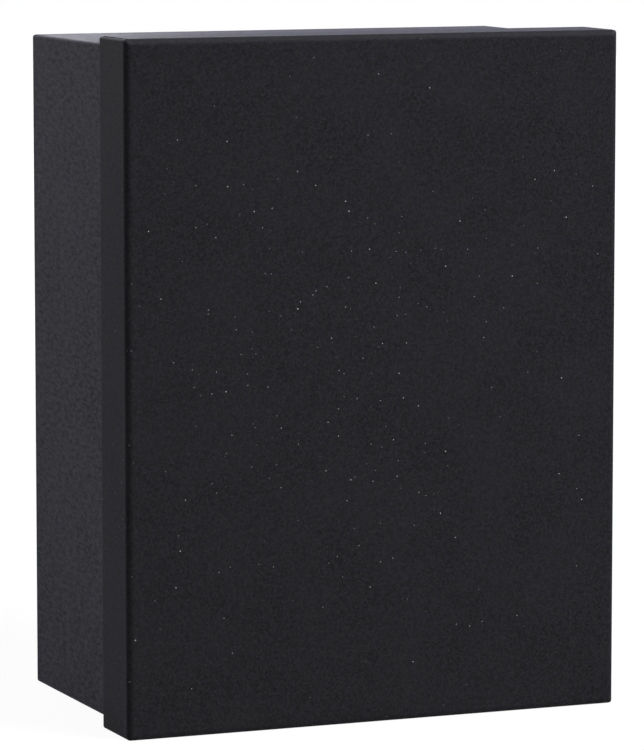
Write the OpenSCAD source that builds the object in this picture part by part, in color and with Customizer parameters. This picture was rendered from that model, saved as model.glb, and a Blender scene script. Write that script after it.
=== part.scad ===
// Rigid gift box of two parts: a shallow lid that slips over a deeper base.
// The box stands upright, with the lid's large face towards -Y and the base's towards +Y.
// Origin: middle of the box in X and Y, on the surface it stands on.
// Each half is a tray of five glued greyboard panels, taped at its four corners,
// covered with one folded sheet of paper and lined with paper inside.

/* [Box] */
// Width of the lid, outside
lid_w = 184; // [80:1:300]
// Height of the lid, outside, as the box stands
lid_h = 240; // [80:1:400]
// Depth of the closed box, outside
box_d = 106; // [60:1:200]
// Depth of the lid's skirt, outside
skirt_d = 26; // [12:0.5:45]

/* [Greyboard] */
// Thickness of the lid's board
lid_board_t = 2; // [1:0.1:3]
// Thickness of the base's board
base_board_t = 2; // [1:0.1:3]
// Radius of the board's pressed edge round each large face
face_edge_r = 1.95; // [0.5:0.05:2.5]
// Radius of the board's corner between two walls
wall_edge_r = 0.9; // [0.3:0.1:1.5]
// Radius of the board's outer edge along the rim
rim_edge_r = 0.3; // [0.1:0.05:0.8]

/* [Paper] */
// Thickness of the covering paper
wrap_t = 0.2; // [0.1:0.05:0.5]
// Thickness of the corner tape
tape_t = 0.1; // [0.05:0.05:0.3]
// Width of the corner tape on each side of its corner
tape_w = 12; // [5:0.5:20]
// Distance from the end of the corner tape to the rim
tape_stop = 1.5; // [1:0.5:6]
// Thickness of the lining paper
lining_t = 0.2; // [0.1:0.05:0.5]
// Depth of the covering paper turned in over the base's rim
base_turn_in = 18; // [6:0.5:35]
// Turned-in paper left bare between the base's rim and its wall lining
lining_margin = 4; // [1:0.5:5]

/* [Fit] */
// Film of glue between two glued faces
glue_t = 0.05; // [0.02:0.01:0.15]
// Slip gap between the base and the inside of the lid, on each side
slip_gap = 0.25; // [0.15:0.05:1.5]
// Gap left between the base's rim and the lid's lining
seat_gap = 0.1; // [0.05:0.05:1]

/* [Colours] */
// Colour of the covering paper
wrap_colour = "#26262a"; // ["#26262a":Black, "#4a2026":Wine, "#22304a":Navy]
// Colour of the lining paper
lining_colour = "#1c1c1f"; // ["#1c1c1f":Black, "#d8d4c8":Cream]

/* [Hidden] */
$fn = 48;
board_colour = "#8c8578";
tape_colour = "#a98a5c";
// How far a cut runs past the face that it opens
past = 1;

// Indices into a tray's list of sizes
W = 0;
H = 1;
D = 2;
BOARD = 3;
TURN_IN = 4;

// Covering paper and its glue, over a large face or a rim
face_skin = wrap_t + glue_t;
// Covering paper and glue over a taped wall
side_skin = face_skin + tape_t + glue_t;
// Turned-in covering paper and its glue, inside a wall
turned_skin = glue_t + wrap_t;

// The lid, whose paper is turned in as far as its lining
lid_stack = face_skin + lid_board_t + glue_t + lining_t;
lid = [lid_w, lid_h, skirt_d, lid_board_t, skirt_d - lid_stack - glue_t];

// How far the lid stands out beyond the base on every side
proud = side_skin + lid_board_t + turned_skin + slip_gap;

// The base, whose rim all but meets the lining inside the lid
base_d = box_d - lid_stack - seat_gap;
base = [lid_w - 2 * proud, lid_h - 2 * proud, base_d, base_board_t, base_turn_in];

// The four corners, with their side in X and in Z
CORNERS = ["lower_left", "lower_right", "upper_right", "upper_left"];
CORNER_X = [-1, 1, 1, -1];
CORNER_Z = [-1, -1, 1, 1];

// Width and height between the inner faces of a tray's wall boards
function inner_w(tray) = tray[W] - 2 * (side_skin + tray[BOARD]);
function inner_h(tray) = tray[H] - 2 * (side_skin + tray[BOARD]);

// Depths below a tray's closed face: of its panel, of what stands on the panel and of its lining
function panel_end(tray) = face_skin + tray[BOARD];
function wall_start(tray) = panel_end(tray) + glue_t;
function lining_end(tray) = wall_start(tray) + lining_t;

// The board's pressed edge is no rounder than the board is thick
function pressed_r(tray) = min(face_edge_r, tray[BOARD]);

// Every tray is drawn round X = 0, Z = 0 with its closed face at Y = 0 and its rim towards +Y.
// These two set it in place in the box.
module place_lid() {
    translate([0, -box_d / 2, lid_h / 2]) children();
}

module place_base() {
    translate([0, box_d / 2, lid_h / 2]) mirror([0, 1, 0]) children();
}

// Block centred in X and Z, from depth y0 to y1
module slab(width, height, y0, y1) {
    translate([-width / 2, y0, -height / 2]) cube([width, y1 - y0, height]);
}

// Rectangle centred in X, from 0 to depth in Y, its near corners rounded to r0 and its far ones to r1
module rounded_strip(width, depth, r0, r1) {
    translate([-width / 2, r0]) square([width, depth - r0 - r1]);
    for (side = [-1, 1]) {
        translate([side * (width / 2 - r0), r0]) circle(r0);
        translate([side * (width / 2 - r1), depth - r1]) circle(r1);
    }
    translate([-width / 2 + r0, 0]) square([width - 2 * r0, depth / 2]);
    translate([-width / 2 + r1, depth / 2]) square([width - 2 * r1, depth / 2]);
}

// Solid outline of a tray, taken in by side on its walls and by face at its closed face and rim.
// It is rounded by three radii: round the closed face, between the walls and along the rim.
module tray_block(tray, side, face, r_face, r_wall, r_rim) {
    width = tray[W] - 2 * side;
    height = tray[H] - 2 * side;
    depth = tray[D] - 2 * face;
    translate([0, face, 0]) intersection() {
        translate([0, 0, -height / 2])
            linear_extrude(height) rounded_strip(width, depth, r_face, r_rim);
        rotate([0, 90, 0]) translate([0, 0, -width / 2])
            linear_extrude(width) rounded_strip(height, depth, r_face, r_rim);
        rotate([-90, 0, 0]) translate([0, -height / 2, 0])
            linear_extrude(depth) rounded_strip(width, height, r_wall, r_wall);
    }
}

// The outline of the five boards, and those of the glue, tape and paper over them
module board_block(tray) {
    tray_block(tray, side_skin, face_skin, pressed_r(tray), wall_edge_r, rim_edge_r);
}

module paper_block(tray, thickness) {
    side_r = wall_edge_r + side_skin - wrap_t;
    inset = wrap_t - thickness;
    tray_block(
        tray, inset, inset,
        pressed_r(tray) + glue_t + thickness, side_r + thickness, rim_edge_r + glue_t + thickness
    );
}

// Rounded outline of the wall boards in X and Z, grown outwards
module wall_outline(tray, growth) {
    width = tray[W] - 2 * side_skin + 2 * growth;
    height = tray[H] - 2 * side_skin + 2 * growth;
    corner_r = wall_edge_r + growth;
    translate([0, -height / 2]) rounded_strip(width, height, corner_r, corner_r);
}

// Panel behind the closed face, with its edge pressed round
module face_board(tray) {
    color(board_colour) intersection() {
        board_block(tray);
        slab(tray[W], tray[H], 0, panel_end(tray));
    }
}

// Panel of the left (-1) or right (1) wall, as high as the tray
module side_board(tray, side) {
    x_in = inner_w(tray) / 2;
    color(board_colour) intersection() {
        board_block(tray);
        translate([side > 0 ? x_in : -x_in - tray[BOARD], wall_start(tray), -tray[H] / 2])
            cube([tray[BOARD], tray[D], tray[H]]);
    }
}

// Panel of the lower (-1) or upper (1) wall, let in between the side panels
module end_board(tray, side) {
    width = inner_w(tray) - 2 * glue_t;
    z_in = inner_h(tray) / 2;
    color(board_colour) intersection() {
        board_block(tray);
        translate([-width / 2, wall_start(tray), side > 0 ? z_in : -z_in - tray[BOARD]])
            cube([width, tray[D], tray[BOARD]]);
    }
}

// Paper tape bent round the joint of two walls, at the corner towards sx and sz
module corner_tape(tray, sx, sz) {
    start = wall_start(tray);
    length = tray[D] - tape_stop - start;
    x_out = tray[W] / 2 - face_skin;
    z_out = tray[H] / 2 - face_skin;
    color(tape_colour) intersection() {
        rotate([-90, 0, 0]) translate([0, 0, start]) linear_extrude(length) difference() {
            wall_outline(tray, glue_t + tape_t);
            wall_outline(tray, glue_t);
        }
        translate([sx > 0 ? x_out - tape_w : -x_out, start, sz > 0 ? z_out - tape_w : -z_out])
            cube([tape_w, length, tape_w]);
    }
}

// Sleeve of thickness t inside the walls, its outer face set in from the boards, from y0 to y1
module sleeve(tray, set_in, t, y0, y1) {
    width = inner_w(tray) - 2 * set_in;
    height = inner_h(tray) - 2 * set_in;
    difference() {
        slab(width, height, y0, y1);
        slab(width - 2 * t, height - 2 * t, y0 - past, y1 + past);
    }
}

// Covering paper: over the face, down the four walls, round the rim and in
module wrap(tray) {
    color(wrap_colour) {
        difference() {
            paper_block(tray, wrap_t);
            paper_block(tray, 0);
            slab(
                inner_w(tray) - 2 * turned_skin, inner_h(tray) - 2 * turned_skin,
                tray[D] / 2, tray[D] + past
            );
        }
        sleeve(tray, glue_t, wrap_t, tray[D] - tray[TURN_IN], tray[D]);
    }
}

// Lining sheet on the inside of the closed face, from wall to wall
module floor_lining(tray) {
    color(lining_colour)
        slab(inner_w(tray) - 2 * glue_t, inner_h(tray) - 2 * glue_t, wall_start(tray), lining_end(tray));
}

// Lining round the four walls, lapped over the turned-in paper
module wall_lining(tray) {
    color(lining_colour)
        sleeve(tray, turned_skin + glue_t, lining_t, lining_end(tray) + glue_t, tray[D] - lining_margin);
}

// Lid
place_lid() wrap(lid);  // lid_wrap
place_lid() floor_lining(lid);  // lid_lining
place_lid() face_board(lid);  // lid_face_board
place_lid() side_board(lid, -1);  // lid_left_board
place_lid() side_board(lid, 1);  // lid_right_board
place_lid() end_board(lid, 1);  // lid_upper_board
place_lid() end_board(lid, -1);  // lid_lower_board
for (i = [0:3])
    place_lid() corner_tape(lid, CORNER_X[i], CORNER_Z[i]);

// Base
place_base() wrap(base);  // base_wrap
place_base() wall_lining(base);  // base_wall_lining
place_base() floor_lining(base);  // base_floor_lining
place_base() face_board(base);  // base_back_board
place_base() side_board(base, -1);  // base_left_board
place_base() side_board(base, 1);  // base_right_board
place_base() end_board(base, 1);  // base_upper_board
place_base() end_board(base, -1);  // base_lower_board
for (i = [0:3])
    place_base() corner_tape(base, CORNER_X[i], CORNER_Z[i]);
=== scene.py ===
import math
from dataclasses import dataclass

import bmesh
import bpy
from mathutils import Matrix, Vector, noise


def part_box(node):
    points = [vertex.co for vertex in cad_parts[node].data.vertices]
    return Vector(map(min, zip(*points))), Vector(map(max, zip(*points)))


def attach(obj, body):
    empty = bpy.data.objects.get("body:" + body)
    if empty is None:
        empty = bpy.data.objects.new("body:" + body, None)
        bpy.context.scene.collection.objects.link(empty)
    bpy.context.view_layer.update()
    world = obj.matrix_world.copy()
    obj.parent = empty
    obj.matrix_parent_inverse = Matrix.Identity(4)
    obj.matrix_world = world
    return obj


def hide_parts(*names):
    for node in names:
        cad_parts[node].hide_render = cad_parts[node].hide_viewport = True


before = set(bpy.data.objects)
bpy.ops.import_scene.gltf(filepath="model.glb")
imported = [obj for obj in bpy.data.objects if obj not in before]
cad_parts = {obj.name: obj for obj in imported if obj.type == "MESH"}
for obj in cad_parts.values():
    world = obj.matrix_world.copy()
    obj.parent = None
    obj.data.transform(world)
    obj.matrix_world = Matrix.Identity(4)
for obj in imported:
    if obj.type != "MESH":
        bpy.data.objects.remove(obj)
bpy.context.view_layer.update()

MM = 0.001

# ---------------------------------------------------------------- paper and folds, in metres
PAPER = 0.20 * MM            # thickness of the covering and lining papers
GLUE = 0.05 * MM             # film of glue under a paper
BASE_TURN_IN = 18 * MM       # depth of the paper turned in over the base's rim

FACE_FOLD = 2.40 * MM        # radius of the fold round a large face
WALL_FOLD = 1.00 * MM        # radius of the fold between two walls
RIM_FOLD = 0.55 * MM         # radius of the fold over the outside of the rim
RIM_INNER_FOLD = 0.40 * MM   # radius of the fold over the inside of the rim
FACE_CORNER = 0.75 * MM      # radius of a large face's own corners
INNER_CORNER = 0.30 * MM     # radius of the paper in the inside corners
SHEET_CORNER = 0.60 * MM     # radius of a flat lining sheet's corners

SEAM_IN = 0.45 * MM          # from a flap's cut edge to the start of the corner's fold: a gutter that the seam's material paints in shade
CUT_LEAN = 0.03 * MM         # how far a flap's cut edge leans out
CUT_ROUND = 0.06 * MM        # how far the edge of a lining is rounded
LAP = 0.20 * MM              # how far a lid flap stands proud of the ear of paper under it
PRESSED_LAP = 0.07 * MM      # the same on the base, whose flaps are pressed flatter
INNER_LAP = 0.12 * MM        # the same for the turned-in paper and the lining of the walls
LAP_START = 0.7              # share of the face's fold after which a flap begins to stand proud

WAVE = 0.05 * MM             # depth of the paper's slow waves
WAVE_LENGTH = 38 * MM

# How much the folds are rubbed pale by handling, and painted lighter as a highlight where they face
# up. The folds between two walls take this fully.
FACE_WEAR_AND_HIGHLIGHT = 0.5
RIM_WEAR_AND_HIGHLIGHT = 1.0
RIM_INNER_WEAR_AND_HIGHLIGHT = 0.7

# Turns of paper on a large face: how far inside its fold, and the share of the waves there
FACE_TURNS = ((9 * MM, 1.0), (4 * MM, 0.7), (1.6 * MM, 0.3), (0.6 * MM, 0.1))
# Turns that keep a flat stretch flat up to its fold: how far they lie from it
FACE_MARGIN = 0.8 * MM
RIM_MARGIN = 0.4 * MM
SHEET_MARGIN = 3 * MM

# Steps that each stretch of paper is divided into
FLAP_STEPS = 44              # along an upper or lower flap
WALL_STEPS = 58              # along a left or right wall
ARC_STEPS = 7                # round the fold between two walls
FACE_FOLD_STEPS = 12         # round the fold of a large face
RIM_FOLD_STEPS = 6           # round the fold over the outside of the rim
RIM_INNER_STEPS = 5          # round the fold over the inside of the rim
BACK_FOLD_STEPS = 5          # round the back of the face's fold
TURN_IN_STEPS = 7            # across the turned-in paper
STRIP_STEPS = 16             # across the lining of the walls

CAP_SHARE = 0.97             # a closed face's grid of quads, as a share of the turn round it
CREASE = math.radians(40)    # edges bent by more than this are shaded sharp


# ---------------------------------------------------------------- the two halves of the box
@dataclass
class Tray:
    """One half of the box, read from the frame: which body it is, its faces and its walls."""
    body: str
    half_w: float       # outside, from the middle
    half_h: float
    mid_z: float
    face_y: float       # the closed face
    toward_rim: int     # +1 if the rim lies towards +Y, -1 if towards -Y
    depth: float
    wall: float         # from the outside of a wall to the inside of its turned-in paper
    turn_in: float      # depth of the turned-in paper
    lap: float          # how far its upper and lower flaps stand proud of the ears under them


def read_tray(body, toward_rim, turn_in_end, lap):
    """The tray whose nodes start with the body's name. turn_in_end is the Y where the paper ends."""
    low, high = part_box(f"{body}_wrap")
    board_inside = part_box(f"{body}_left_board")[1].x
    face_y, rim_y = (low.y, high.y) if toward_rim > 0 else (high.y, low.y)
    return Tray(
        body=body,
        half_w=(high.x - low.x) / 2,
        half_h=(high.z - low.z) / 2,
        mid_z=(high.z + low.z) / 2,
        face_y=face_y,
        toward_rim=toward_rim,
        depth=abs(rim_y - face_y),
        wall=board_inside - low.x + GLUE + PAPER,
        turn_in=abs(rim_y - turn_in_end),
        lap=lap,
    )


LID = read_tray("lid", 1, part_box("lid_lining")[1].y + GLUE, LAP)
BASE = read_tray("base", -1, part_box("base_wrap")[0].y + BASE_TURN_IN, PRESSED_LAP)


# ---------------------------------------------------------------- turns round a tray
@dataclass
class Turn:
    """A closed turn of paper round a tray, at one depth below its closed face."""
    inset: float        # in from the tray's outside
    depth: float        # below the closed face
    corner: float       # radius between two walls
    lap: float = 0.0    # how far the upper and lower flaps stand proud of the corners
    edge: float = 0.0   # 1 on a fold that handling rubs and that takes a painted highlight where it faces up, 0 on a flat stretch
    give: float = 1.0   # share of the waves: none on the face's fold or on the paper's back
    flat: bool = False  # true on a closed face, where the corners aren't folds between two walls


def quarter(steps):
    """Angles of a quarter circle in equal steps, both ends included."""
    return [math.pi / 2 * i / steps for i in range(steps + 1)]


def arc(centre, radius, start, steps):
    """Points of a quarter circle in X and Z, anticlockwise from the angle start, in degrees."""
    angles = [math.radians(start + 90 * i / steps) for i in range(steps + 1)]
    return [(centre[0] + radius * math.cos(a), centre[1] + radius * math.sin(a)) for a in angles]


def turn_points(tray, turn):
    """Points (x, z) of a turn: the upper flap, the left wall, then the same turned half round."""
    w, h, r = tray.half_w - turn.inset, tray.half_h - turn.inset, turn.corner
    flap_end = w - r - SEAM_IN
    foot = flap_end + CUT_LEAN
    low = h - turn.lap
    wall_end = low - r
    flap = [(flap_end * (1 - 2 * i / FLAP_STEPS), h) for i in range(FLAP_STEPS + 1)]
    wall = [(-w, wall_end * (1 - 2 * i / WALL_STEPS)) for i in range(1, WALL_STEPS)]
    half = (
        flap + [(-foot, low)] + arc((r - w, wall_end), r, 90, ARC_STEPS)
        + wall + arc((r - w, -wall_end), r, 180, ARC_STEPS) + [(-foot, -low)]
    )
    return half + [(-x, -z) for x, z in half]


# Places in the list of a turn's points
FLAP_END = FLAP_STEPS
WALL_START = FLAP_END + 2 + ARC_STEPS
WALL_END = WALL_START + WALL_STEPS
HALF_TURN = WALL_END + ARC_STEPS + 2


def in_corner(index):
    """True for a point of a turn on the fold between two walls, or at the foot of a cut edge."""
    place = index % HALF_TURN
    return FLAP_END < place < WALL_START or place > WALL_END


def in_seam(index):
    """True if the strip from this point of a turn to the next is a flap's cut edge or the gutter at
    its foot, where the seam's shade is painted.
    """
    return index % HALF_TURN in (FLAP_END, FLAP_END + 1, HALF_TURN - 2, HALF_TURN - 1)


# ---------------------------------------------------------------- closed meshes of paper
class Shell:
    """A closed mesh built from turns of paper, from one end to the other."""

    def __init__(self, tray):
        self.tray = tray
        self.mesh = bmesh.new()
        layers = self.mesh.verts.layers.float
        self.edge = layers.new("edge")      # how far it is rubbed and takes the painted highlight, which the paper's material reads
        self.give = layers.new("give")      # share of the waves that it takes

    def vertex(self, x, depth, z, edge, give):
        tray = self.tray
        vert = self.mesh.verts.new((x, tray.face_y + tray.toward_rim * depth, tray.mid_z + z))
        vert[self.edge], vert[self.give] = edge, give
        return vert

    def ring(self, turn):
        """The vertices of a turn. Its corners take the fold's wear and painted highlight fully, and
        no waves.
        """
        ring = []
        for i, (x, z) in enumerate(turn_points(self.tray, turn)):
            corner = float(in_corner(i) and not turn.flat)
            edge, give = max(turn.edge, corner), turn.give * (1 - corner)
            ring.append(self.vertex(x, turn.depth, z, edge, give))
        return ring

    def bridge(self, first, second, cut):
        """Joins two rings. Where cut is true, the strips along the flaps' edges take the second
        material: the cut edge and the painted shade at its foot.
        """
        count = len(first)
        for i in range(count):
            j = (i + 1) % count
            face = self.mesh.faces.new((first[i], first[j], second[j], second[i]))
            face.material_index = int(cut and in_seam(i))

    def cap(self, ring, turn):
        """Fills a turn on a closed face with a grid of quads, and its corners with fans."""
        points = turn_points(self.tray, turn)
        columns = [points[i][0] * CAP_SHARE for i in range(FLAP_STEPS + 1)]
        rows = [points[WALL_START + j][1] * CAP_SHARE for j in range(WALL_STEPS + 1)]
        grid = [[self.vertex(x, turn.depth, z, 0.0, turn.give) for z in rows] for x in columns]
        new_face = self.mesh.faces.new
        for i in range(FLAP_STEPS):
            for j in range(WALL_STEPS):
                new_face((grid[i][j], grid[i][j + 1], grid[i + 1][j + 1], grid[i + 1][j]))
        # The ring's second half meets the grid as the first does, turned half round
        for start, side in ((0, grid), (HALF_TURN, [column[::-1] for column in grid[::-1]])):
            near = [ring[(start + k) % len(ring)] for k in range(HALF_TURN + 1)]
            for i in range(FLAP_STEPS):
                new_face((near[i], near[i + 1], side[i + 1][0], side[i][0]))
            for j in range(WALL_STEPS):
                k = WALL_START + j
                new_face((near[k], near[k + 1], side[-1][j + 1], side[-1][j]))
            for k in range(FLAP_END, WALL_START):
                new_face((near[k], near[k + 1], side[-1][0]))
            for k in range(WALL_END, HALF_TURN):
                new_face((near[k], near[k + 1], side[-1][-1]))

    def build(self, turns, closed=False):
        """Joins the turns. The ends are capped, or joined to each other if closed."""
        rings = [self.ring(turn) for turn in turns]
        for i in range(len(turns) - 1):
            self.bridge(rings[i], rings[i + 1], cut=turns[i].lap > 0 and turns[i + 1].lap > 0)
        if closed:
            self.bridge(rings[-1], rings[0], cut=True)
        else:
            self.cap(rings[0], turns[0])
            self.cap(rings[-1], turns[-1])
        bmesh.ops.recalc_face_normals(self.mesh, faces=self.mesh.faces)
        return self

    def wave(self, seed):
        """Lets the paper dip in slow, shallow waves, never outwards."""
        self.mesh.normal_update()
        for vert in self.mesh.verts:
            place = vert.co / WAVE_LENGTH + Vector((seed, 0, 0))
            vert.co -= vert.normal * WAVE * vert[self.give] * (0.5 + 0.5 * noise.noise(place))
        return self

    def piece(self, name, materials, slot, *nodes):
        """Makes the object, which rides on the tray's body and stands for the given nodes."""
        for edge in self.mesh.edges:
            edge.smooth = edge.calc_face_angle(0.0) < CREASE
        for face in self.mesh.faces:
            face.smooth = True
        data = bpy.data.meshes.new(name)
        self.mesh.to_mesh(data)
        self.mesh.free()
        for material in materials:
            data.materials.append(material)
        obj = bpy.data.objects.new(name, data)
        bpy.context.scene.collection.objects.link(obj)
        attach(obj, self.tray.body)
        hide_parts(*nodes)


def even(start, end, steps):
    """Values from start to end, both left out, in equal steps."""
    return [start + (end - start) * i / steps for i in range(1, steps)]


def smooth(value, low, high):
    """0 below low, 1 above high, and a smooth rise between."""
    t = min(1.0, max(0.0, (value - low) / (high - low)))
    return t * t * (3 - 2 * t)


# ---------------------------------------------------------------- covering paper
def covering_turns(tray, wall_steps):
    """The covering paper from the middle of the closed face to the rim, in, and back behind."""
    rim = tray.depth
    turns = [
        Turn(FACE_FOLD + past, 0, FACE_CORNER, give=give, flat=True) for past, give in FACE_TURNS
    ]
    for i, a in enumerate(quarter(FACE_FOLD_STEPS)):
        share = i / FACE_FOLD_STEPS
        turns.append(Turn(
            inset=FACE_FOLD * (1 - math.sin(a)),
            depth=FACE_FOLD * (1 - math.cos(a)),
            corner=FACE_CORNER + (WALL_FOLD - FACE_CORNER) * share,
            lap=tray.lap * smooth(share, LAP_START, 1.0),
            edge=FACE_WEAR_AND_HIGHLIGHT,
            give=0.0,
        ))
    wall_end = rim - RIM_FOLD
    depths = [FACE_FOLD + FACE_MARGIN] + even(FACE_FOLD, wall_end, wall_steps)
    depths.append(wall_end - RIM_MARGIN)
    turns += [Turn(0, depth, WALL_FOLD, tray.lap) for depth in depths]
    for a in quarter(RIM_FOLD_STEPS):
        inset, depth = RIM_FOLD * (1 - math.cos(a)), rim - RIM_FOLD * (1 - math.sin(a))
        turns.append(Turn(inset, depth, WALL_FOLD, tray.lap, edge=RIM_WEAR_AND_HIGHLIGHT))
    for a in quarter(RIM_INNER_STEPS):
        inset = tray.wall - RIM_INNER_FOLD * (1 - math.sin(a))
        depth = rim - RIM_INNER_FOLD * (1 - math.cos(a))
        turns.append(Turn(inset, depth, INNER_CORNER, INNER_LAP, edge=RIM_INNER_WEAR_AND_HIGHLIGHT))
    turned_end = rim - tray.turn_in
    depths = even(rim - RIM_INNER_FOLD, turned_end, TURN_IN_STEPS) + [turned_end]
    turns += [Turn(tray.wall, depth, INNER_CORNER, INNER_LAP) for depth in depths]
    return turns + covering_back(tray)


def covering_back(tray):
    """The glued side of the covering paper, from the end of the turned-in part to the face."""
    rim = tray.depth
    behind = tray.wall - PAPER
    radius = FACE_FOLD - PAPER
    back = [
        (behind, rim - tray.turn_in, INNER_CORNER, INNER_LAP),
        (behind, rim - RIM_INNER_FOLD, INNER_CORNER, INNER_LAP),
        (behind - RIM_INNER_FOLD, rim - PAPER, INNER_CORNER, INNER_LAP),
        (RIM_FOLD, rim - PAPER, WALL_FOLD, tray.lap),
        (PAPER, rim - RIM_FOLD, WALL_FOLD - PAPER, tray.lap),
        (PAPER, FACE_FOLD, WALL_FOLD - PAPER, tray.lap),
    ] + [
        (FACE_FOLD - radius * math.cos(a), FACE_FOLD - radius * math.sin(a), FACE_CORNER, 0.0)
        for a in quarter(BACK_FOLD_STEPS)[1:]
    ]
    return [Turn(inset, depth, corner, lap, give=0.0) for inset, depth, corner, lap in back]


# ---------------------------------------------------------------- lining papers
def place_in_tray(tray, node):
    """How far a node lies in from the tray's outside, and its nearest and farthest depth."""
    low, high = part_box(node)
    near, far = sorted(abs(y - tray.face_y) for y in (low.y, high.y))
    return tray.half_w - high.x, near, far


def floor_sheet_turns(tray, node):
    """A flat sheet on the inside of a closed face, as large as its node."""
    outer, near, far = place_in_tray(tray, node)
    return [
        Turn(outer + SHEET_MARGIN, far, SHEET_CORNER, flat=True),
        Turn(outer + CUT_ROUND, far, SHEET_CORNER, flat=True),
        Turn(outer, far - CUT_ROUND, SHEET_CORNER, flat=True),
        Turn(outer, near + CUT_ROUND, SHEET_CORNER, give=0.0),
        Turn(outer + SHEET_MARGIN, near, SHEET_CORNER, give=0.0),
    ]


def wall_strip_turns(tray, node):
    """The lining round the four walls, whose upper and lower pieces lap over the other two."""
    outer, start, end = place_in_tray(tray, node)
    inner = outer + PAPER
    cut = end - CUT_ROUND
    shown = [(inner, depth, 1.0) for depth in [start] + even(start, end, STRIP_STEPS) + [cut]]
    rounded = [(inner - CUT_ROUND, end, 1.0)]
    glued = [(outer, depth, 0.0) for depth in (cut, (start + end) / 2, start)]
    return [
        Turn(inset, depth, INNER_CORNER, INNER_LAP, give=give)
        for inset, depth, give in shown + rounded + glued
    ]


# ---------------------------------------------------------------- colours and nodes
def srgb(red, green, blue):
    """A colour given as 0 to 255 on screen, in the linear values that a shader takes."""
    def linear(v):
        v /= 255
        return v / 12.92 if v <= 0.04045 else ((v + 0.055) / 1.055) ** 2.4
    return (linear(red), linear(green), linear(blue), 1.0)


WHITE = (1, 1, 1, 1)

# Ranges that a noise is stretched from: the one that most of it lies in, and its middle part
WIDE = (0.3, 0.7)
MIDDLE = (0.35, 0.65)


class Nodes:
    """Short ways to add and join the nodes of one tree."""

    def __init__(self, tree):
        self.tree = tree

    def node(self, kind, **settings):
        made = self.tree.nodes.new(kind)
        for name, value in settings.items():
            setattr(made, name, value)
        return made

    def feed(self, socket, value):
        """Sets a socket to a number or colour, or links another node's output to it."""
        if isinstance(value, bpy.types.NodeSocket):
            self.tree.links.new(value, socket)
        else:
            socket.default_value = value

    def put(self, node, socket, value):
        self.feed(node.inputs[socket], value)

    def math(self, operation, first, second):
        made = self.node("ShaderNodeMath", operation=operation)
        for index, value in enumerate((first, second)):
            self.put(made, index, value)
        return made.outputs["Value"]

    def lay_over(self, share, first, second):
        """Shader first, with second laid over it by share."""
        made = self.node("ShaderNodeMixShader")
        for index, value in enumerate((share, first, second)):
            self.put(made, index, value)
        return made.outputs["Shader"]

    def background_rays(self):
        """1 for the rays that should meet a white background: from the camera, a gloss or a glass."""
        path = self.node("ShaderNodeLightPath").outputs
        seen = self.math("MAXIMUM", path["Is Camera Ray"], path["Is Glossy Ray"])
        return self.math("MAXIMUM", seen, path["Is Transmission Ray"])


class Finish(Nodes):
    """A material with one Principled shader, and short ways to add the nodes that drive it."""

    def __init__(self, name, specular):
        self.material = bpy.data.materials.new(name)
        self.material.use_nodes = True
        super().__init__(self.material.node_tree)
        self.shader = self.tree.nodes["Principled BSDF"]
        self.put(self.shader, "Specular IOR Level", specular)
        self.place = self.node("ShaderNodeTexCoord").outputs["Object"]

    def shade(self, values):
        """Sets the shader's sockets by name, and returns the material."""
        for socket, value in values.items():
            self.put(self.shader, socket, value)
        return self.material

    def stretched(self, x, y, z):
        """The object's own coordinates, scaled along each axis."""
        made = self.node("ShaderNodeMapping")
        self.put(made, "Vector", self.place)
        self.put(made, "Scale", (x, y, z))
        return made.outputs["Vector"]

    def noise(self, size, detail=2.0, rough=0.5, place=None):
        """Noise from 0 to 1, whose blotches are about size metres across."""
        made = self.node("ShaderNodeTexNoise")
        self.put(made, "Vector", place or self.place)
        self.put(made, "Scale", 1 / size)
        self.put(made, "Detail", detail)
        self.put(made, "Roughness", rough)
        return made.outputs["Fac"]

    def cells(self, size):
        """Distance to the nearest of many scattered points, in cells, and a random colour each."""
        made = self.node("ShaderNodeTexVoronoi")
        self.put(made, "Vector", self.place)
        self.put(made, "Scale", 1 / size)
        # A cell's own colour follows from where its point lies, so it is drawn again
        drawn = self.node("ShaderNodeTexWhiteNoise", noise_dimensions="3D")
        self.put(drawn, "Vector", made.outputs["Color"])
        return made.outputs["Distance"], drawn.outputs["Color"]

    def nearness(self, place):
        """1 at the origin of the given coordinates, falling evenly to 0 at a distance of 1."""
        made = self.node("ShaderNodeTexGradient", gradient_type="SPHERICAL")
        self.put(made, "Vector", place)
        return made.outputs["Fac"]

    def ramp(self, value, span, to=(0.0, 1.0), kind="SMOOTHSTEP"):
        """value, taken from one range to another, and held at the ends."""
        made = self.node("ShaderNodeMapRange", interpolation_type=kind)
        for socket, number in (
            ("Value", value), ("From Min", span[0]), ("From Max", span[1]),
            ("To Min", to[0]), ("To Max", to[1]),
        ):
            self.put(made, socket, number)
        return made.outputs["Result"]

    def blend(self, share, first, second):
        """Colour first, with second laid over it by share."""
        made = self.node("ShaderNodeMix", data_type="RGBA")
        inputs = [s for s in made.inputs if s.enabled]
        for socket, value in zip(inputs, (share, first, second)):
            self.feed(socket, value)
        return next(s for s in made.outputs if s.enabled)

    def channel(self, colour, name):
        made = self.node("ShaderNodeSeparateColor")
        self.put(made, "Color", colour)
        return made.outputs[name]

    def facing_up(self):
        """The upward part of the surface's normal, 1 where it faces straight up."""
        made = self.node("ShaderNodeSeparateXYZ")
        self.put(made, "Vector", self.node("ShaderNodeNewGeometry").outputs["Normal"])
        return made.outputs["Z"]

    def attribute(self, name):
        return self.node("ShaderNodeAttribute", attribute_name=name).outputs["Fac"]

    def bump(self, height, depth, strength=0.5):
        made = self.node("ShaderNodeBump")
        self.put(made, "Height", height)
        self.put(made, "Distance", depth)
        self.put(made, "Strength", strength)
        return made.outputs["Normal"]


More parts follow.
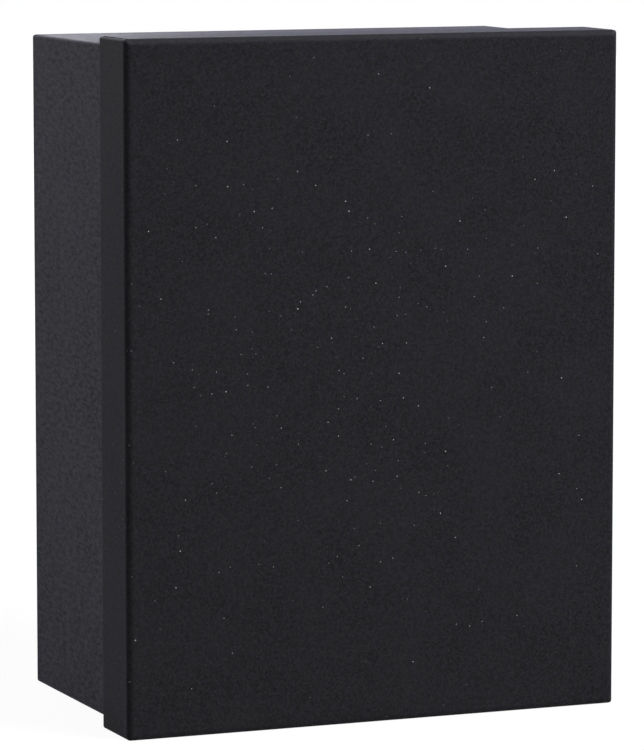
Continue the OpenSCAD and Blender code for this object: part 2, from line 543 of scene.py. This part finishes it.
# ---------------------------------------------------------------- covering paper's material
GRAIN_SHARE = 0.55           # share of the round grain in the felt
FIBRE_SHARE = 0.45           # share of the drawn-out fibre in the felt
FIBRE_SIZE = 1.8             # size of the fibre, as a multiple of the grain's
CLOUD_SIZE = 20 * MM         # slow clouding of the black
CLOUD_SHARE = (0.06, 0.29)   # least and most of the paler colour that it adds
SHEEN = {"Sheen Weight": 0.19, "Sheen Roughness": 0.3, "Sheen Tint": (0.70, 0.69, 1.0, 1.0)}

WORN_AND_LIT_FOLD = srgb(92, 90, 98)    # colour of a fold that handling has rubbed, and of the painted highlight on a fold that faces up
FACING_UP = 0.6              # upward part of the normal from which a fold takes the full painted highlight
UPWARD_HIGHLIGHT = 0.35            # how far a fold is painted lighter where it faces up: a painted highlight of the light from above
PATCH_RUB = 0.25             # how far it is rubbed in patches, whichever way it faces
PATCH_GRAIN = (0.62, 0.8)    # values of the grain between which a patch begins and is full

# Painted glints: the shimmer flecks are drawn in this bright colour, as they look where they catch a
# lamp
FLECK_GLINT = srgb(228, 228, 234)
FLECK_CELL = 2.3 * MM        # side of the cells that hold one fleck each
FLECK_SIZE = (0.033, 0.085)  # radius of the smallest and the largest fleck, in cells
FLECK_DIMMING = 1.2          # power of their random strength: over 1, more of them are dim
# Middle of the large faces, round which the painted glints gather
GLINT_MIDDLE = Vector((-25 * MM, 0, 128 * MM))
GLINT_REACH = 112 * MM     # distance from the middle at which the painted glints are thinnest
GLINT_FULL = 0.15          # share of that distance to which they are densest
GLINT_LEAST = 0.12         # share of the flecks that are left where they are thinnest


def glint_spread(finish, most):
    """Share of the flecks painted as glints: most in the middle of the large faces, where the lamps'
    glints gather, and fewer outwards.
    """
    reach = GLINT_REACH
    made = finish.node("ShaderNodeMapping")
    finish.put(made, "Vector", finish.place)
    finish.put(made, "Location", (-GLINT_MIDDLE.x / reach, 0, -GLINT_MIDDLE.z / reach))
    finish.put(made, "Scale", (1 / reach, 0, 1 / reach))
    near = finish.nearness(made.outputs["Vector"])
    return finish.ramp(near, (0.0, 1 - GLINT_FULL), to=(most * GLINT_LEAST, most))


def fold_wear_and_highlight(finish, grain):
    """How far the folds are paled: rubbed pale in patches, and painted lighter as a highlight where
    they face up.
    """
    # Painted highlight: the more a fold faces up, the paler it is painted
    upward = finish.ramp(finish.facing_up(), (0.0, FACING_UP), to=(0.0, UPWARD_HIGHLIGHT))
    patches = finish.ramp(grain, PATCH_GRAIN, to=(0.0, PATCH_RUB))
    return finish.math("MULTIPLY", finish.attribute("edge"), finish.math("ADD", upward, patches))


def fleck_glints(finish, flecks):
    """Painted glints: the few cells that the surface cuts close to their middle, each with its own
    strength.
    """
    distance, random = finish.cells(FLECK_CELL)
    strewn = finish.math("LESS_THAN", finish.channel(random, "Blue"), glint_spread(finish, flecks))
    size = finish.ramp(finish.channel(random, "Red"), (0.0, 1.0), to=FLECK_SIZE, kind="LINEAR")
    spot = finish.math("MULTIPLY", finish.math("LESS_THAN", distance, size), strewn)
    strength = finish.math("POWER", finish.channel(random, "Green"), FLECK_DIMMING)
    return finish.math("MULTIPLY", spot, strength)


def shimmer_paper(name, colour, pale, mottle, grain_size, flecks):
    """Black paper with a fine felted grain, slow clouding, and scattered shimmer flecks painted
    bright as glints of light.
    """
    finish = Finish(name, specular=0.01)
    grain = finish.noise(grain_size, detail=3.0, rough=0.6)
    fibre = finish.noise(FIBRE_SIZE * grain_size, place=finish.stretched(1.0, 0.35, 1.0))
    cloud = finish.noise(CLOUD_SIZE)
    felt = finish.math(
        "ADD",
        finish.math("MULTIPLY", grain, GRAIN_SHARE),
        finish.math("MULTIPLY", fibre, FIBRE_SHARE),
    )
    share = finish.ramp(felt, (0.5 - mottle, 0.5 + mottle), kind="LINEAR")
    paper = finish.blend(share, colour, pale)
    paper = finish.blend(finish.ramp(cloud, WIDE, to=CLOUD_SHARE), paper, pale)
    # Folds paled by wear in patches and by a painted highlight where they face up
    paper = finish.blend(fold_wear_and_highlight(finish, grain), paper, WORN_AND_LIT_FOLD)
    # Painted glints on the shimmer flecks
    paper = finish.blend(fleck_glints(finish, flecks), paper, FLECK_GLINT)
    rough = finish.ramp(felt, WIDE, to=(0.58, 0.46), kind="LINEAR")
    normal = finish.bump(felt, 0.04 * MM)
    return finish.shade({"Base Color": paper, "Roughness": rough, "Normal": normal, **SHEEN})


# ---------------------------------------------------------------- other materials
# Values of a noise between which each of these begins and is full
DARK_FIBRE = (0.66, 0.74)
LIGHT_FIBRE = (0.34, 0.26)
TAPE_RIB = (0.55, 0.7)


def plain_paper(name, colour, pale):
    """Uncoated black paper for the linings: matt, with a fine tooth."""
    finish = Finish(name, specular=0.25)
    grain = finish.noise(0.5 * MM, detail=3.0, rough=0.6)
    cloud = finish.noise(18 * MM)
    paper = finish.blend(finish.ramp(grain, MIDDLE), colour, pale)
    paper = finish.blend(finish.ramp(cloud, WIDE, to=(0.0, 0.4)), paper, pale)
    rough = finish.ramp(grain, WIDE, to=(0.88, 0.76))
    normal = finish.bump(grain, 0.03 * MM)
    return finish.shade({"Base Color": paper, "Roughness": rough, "Normal": normal})


def cut_edge_and_gutter_shade():
    """The dyed core of the paper, where a knife has cut it: dull and blacker than its face, partly
    its own colour and partly painted shade under the flap's edge. It also paints the shade in the
    gutter at a flap's foot.
    """
    finish = Finish("cut_edge_and_shade", specular=0.0)
    core = finish.blend(finish.noise(0.3 * MM), srgb(8, 8, 9), srgb(18, 18, 20))
    return finish.shade({"Base Color": core, "Roughness": 0.95})


def greyboard():
    """Recycled board: warm grey pulp with darker and lighter fibres."""
    finish = Finish("greyboard", specular=0.2)
    pulp = finish.noise(1.4 * MM, detail=4.0, rough=0.65)
    fibre = finish.noise(0.7 * MM, place=finish.stretched(1.0, 1.0, 0.2))
    board = finish.blend(finish.ramp(pulp, MIDDLE), srgb(126, 119, 107), srgb(154, 146, 133))
    dark = finish.ramp(fibre, DARK_FIBRE, to=(0.0, 0.7))
    board = finish.blend(dark, board, srgb(92, 84, 74))
    light = finish.ramp(fibre, LIGHT_FIBRE, to=(0.0, 0.6))
    board = finish.blend(light, board, srgb(190, 183, 170))
    rough = finish.ramp(pulp, WIDE, to=(0.95, 0.85))
    normal = finish.bump(pulp, 0.08 * MM, strength=0.6)
    return finish.shade({"Base Color": board, "Roughness": rough, "Normal": normal})


def gummed_tape():
    """Brown kraft tape with a ribbed, slightly glossy face."""
    finish = Finish("gummed_tape", specular=0.4)
    pulp = finish.noise(2.2 * MM, detail=4.0, rough=0.6)
    rib = finish.noise(0.5 * MM, detail=1.0, place=finish.stretched(1.0, 0.08, 1.0))
    tape = finish.blend(finish.ramp(pulp, MIDDLE), srgb(158, 126, 86), srgb(184, 150, 108))
    tape = finish.blend(finish.ramp(rib, TAPE_RIB, to=(0.0, 0.35)), tape, srgb(132, 102, 68))
    rough = finish.ramp(pulp, WIDE, to=(0.7, 0.5))
    normal = finish.bump(rib, 0.02 * MM)
    return finish.shade({"Base Color": tape, "Roughness": rough, "Normal": normal})


# ---------------------------------------------------------------- the pieces
LID_PAPER = shimmer_paper(
    "lid_paper", srgb(29, 29, 32), srgb(47, 47, 51),
    mottle=0.12, grain_size=0.55 * MM, flecks=0.95,
)
BASE_PAPER = shimmer_paper(
    "base_paper", srgb(32, 31, 37), srgb(76, 75, 82),
    mottle=0.105, grain_size=0.75 * MM, flecks=0.05,
)
LINING_PAPER = plain_paper("lining_paper", srgb(24, 24, 26), srgb(33, 33, 36))
# Dark cut edges, and painted shade in the gutter at each flap's foot
CUT_EDGE_AND_SHADE = cut_edge_and_gutter_shade()
BOARD = greyboard()
TAPE = gummed_tape()


def covered_tray(tray, wall_steps, materials, seed):
    """The covering paper of one half of the box."""
    shell = Shell(tray).build(covering_turns(tray, wall_steps)).wave(seed)
    shell.piece(f"{tray.body}_paper", materials, "covering_paper", f"{tray.body}_wrap")


# The base's flaps are pressed flat and show no cut edge, so no seam shade is painted there and it has
# its paper for that as well
covered_tray(LID, wall_steps=8, materials=(LID_PAPER, CUT_EDGE_AND_SHADE), seed=3.0)
covered_tray(BASE, wall_steps=24, materials=(BASE_PAPER, BASE_PAPER), seed=11.0)

for tray, node, name in (
    (LID, "lid_lining", "lid_lining_sheet"),
    (BASE, "base_floor_lining", "base_floor_sheet"),
):
    sheet = Shell(tray).build(floor_sheet_turns(tray, node)).wave(seed=7.0)
    sheet.piece(name, (LINING_PAPER,), "lining_paper", node)

strip = Shell(BASE).build(wall_strip_turns(BASE, "base_wall_lining"), closed=True).wave(seed=19.0)
# The lining's seams get the same dark cut edge and painted shade
strip.piece("base_wall_strip", (LINING_PAPER, CUT_EDGE_AND_SHADE), "lining_paper", "base_wall_lining")

for node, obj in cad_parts.items():
    if node.endswith("_board"):
        obj.data.materials.clear()
        obj.data.materials.append(BOARD)
    elif "_tape_" in node:
        obj.data.materials.clear()
        obj.data.materials.append(TAPE)


# ---------------------------------------------------------------- camera, floor and light
SENSOR = 36.0                # in mm, along the picture's long side
LENS = 224.33                # focal length in mm
CLIP = (0.1, 50)             # nearest and farthest distance seen, in metres
CAMERA_AT = Vector((-0.6304, -1.5305, 0.3152))    # in metres, in front and to the left
CAMERA_YAW = math.radians(22.43)    # turned to the right of +Y
CAMERA_DOWN = math.radians(6.85)

LAMP_AIM = Vector((0, 0, 0.12))     # the middle of the box
FLOOR_HALF = 4.0             # half the side of the floor, in metres
FLOOR_PAINT = srgb(210, 210, 210)
FLOOR_GLOW = 1.12            # over white, to make up for the darker paint that is mixed in
SHADOW_FULL = 0.4            # metres from the middle to which the shadow is full. It fades by 1 m


def add_camera():
    data = bpy.data.cameras.new("camera")
    data.sensor_width = SENSOR
    data.lens = LENS
    data.clip_start, data.clip_end = CLIP
    camera = bpy.data.objects.new("camera", data)
    camera.location = CAMERA_AT
    camera.rotation_euler = (math.pi / 2 - CAMERA_DOWN, 0, -CAMERA_YAW)
    bpy.context.scene.collection.objects.link(camera)
    bpy.context.scene.camera = camera


def softbox(name, place, width, height, power):
    """A rectangular lamp of power watts at place, which faces the box."""
    data = bpy.data.lights.new(name, "AREA")
    data.shape = "RECTANGLE"
    data.size, data.size_y = width, height
    data.energy = power
    lamp = bpy.data.objects.new(name, data)
    lamp.location = place
    lamp.rotation_euler = (LAMP_AIM - Vector(place)).to_track_quat("-Z", "Y").to_euler()
    bpy.context.scene.collection.objects.link(lamp)


def white_world(ambient):
    """A world that is white to look at and only ambient bright as a light."""
    world = bpy.data.worlds.new("studio")
    world.use_nodes = True
    bpy.context.scene.world = world
    nodes = Nodes(world.node_tree)
    lit = nodes.tree.nodes["Background"]
    nodes.put(lit, "Color", WHITE)
    nodes.put(lit, "Strength", ambient)
    white = nodes.node("ShaderNodeBackground")
    nodes.put(white, "Color", WHITE)
    surface = nodes.lay_over(
        nodes.background_rays(), lit.outputs["Background"], white.outputs["Background"],
    )
    nodes.put(nodes.tree.nodes["World Output"], "Surface", surface)


def floor_material(shadow):
    """White to look at, with a share of paint that shows the shadow, and paint to other rays."""
    finish = Finish("floor", specular=0.0)
    material = finish.shade({"Base Color": FLOOR_PAINT, "Roughness": 1.0})
    paint = finish.shader.outputs["BSDF"]
    glow = finish.node("ShaderNodeEmission")
    finish.put(glow, "Strength", FLOOR_GLOW)
    near = finish.nearness(finish.place)
    share = finish.ramp(near, (0.0, 1 - SHADOW_FULL), to=(0.0, shadow), kind="LINEAR")
    seen = finish.lay_over(share, glow.outputs["Emission"], paint)
    surface = finish.lay_over(finish.background_rays(), paint, seen)
    finish.put(finish.tree.nodes["Material Output"], "Surface", surface)
    return material


def pale_floor(shadow):
    """A plain floor that shows this share of the object's own shadow."""
    mesh = bmesh.new()
    bmesh.ops.create_grid(mesh, x_segments=8, y_segments=8, size=FLOOR_HALF)
    data = bpy.data.meshes.new("floor")
    mesh.to_mesh(data)
    mesh.free()
    data.materials.append(floor_material(shadow))
    floor = bpy.data.objects.new("floor", data)
    bpy.context.scene.collection.objects.link(floor)


add_camera()
white_world(ambient=0.05)
pale_floor(shadow=0.15)
softbox("key", (1.15, -1.42, 1.5), width=1.2, height=1.2, power=55)
softbox("left", (-1.4, 1.2, 0.6), width=1.0, height=1.2, power=9)
softbox("back", (0.2, 2.4, 0.45), width=1.2, height=0.8, power=24.5)
bpy.context.scene.view_settings.view_transform = "Standard"
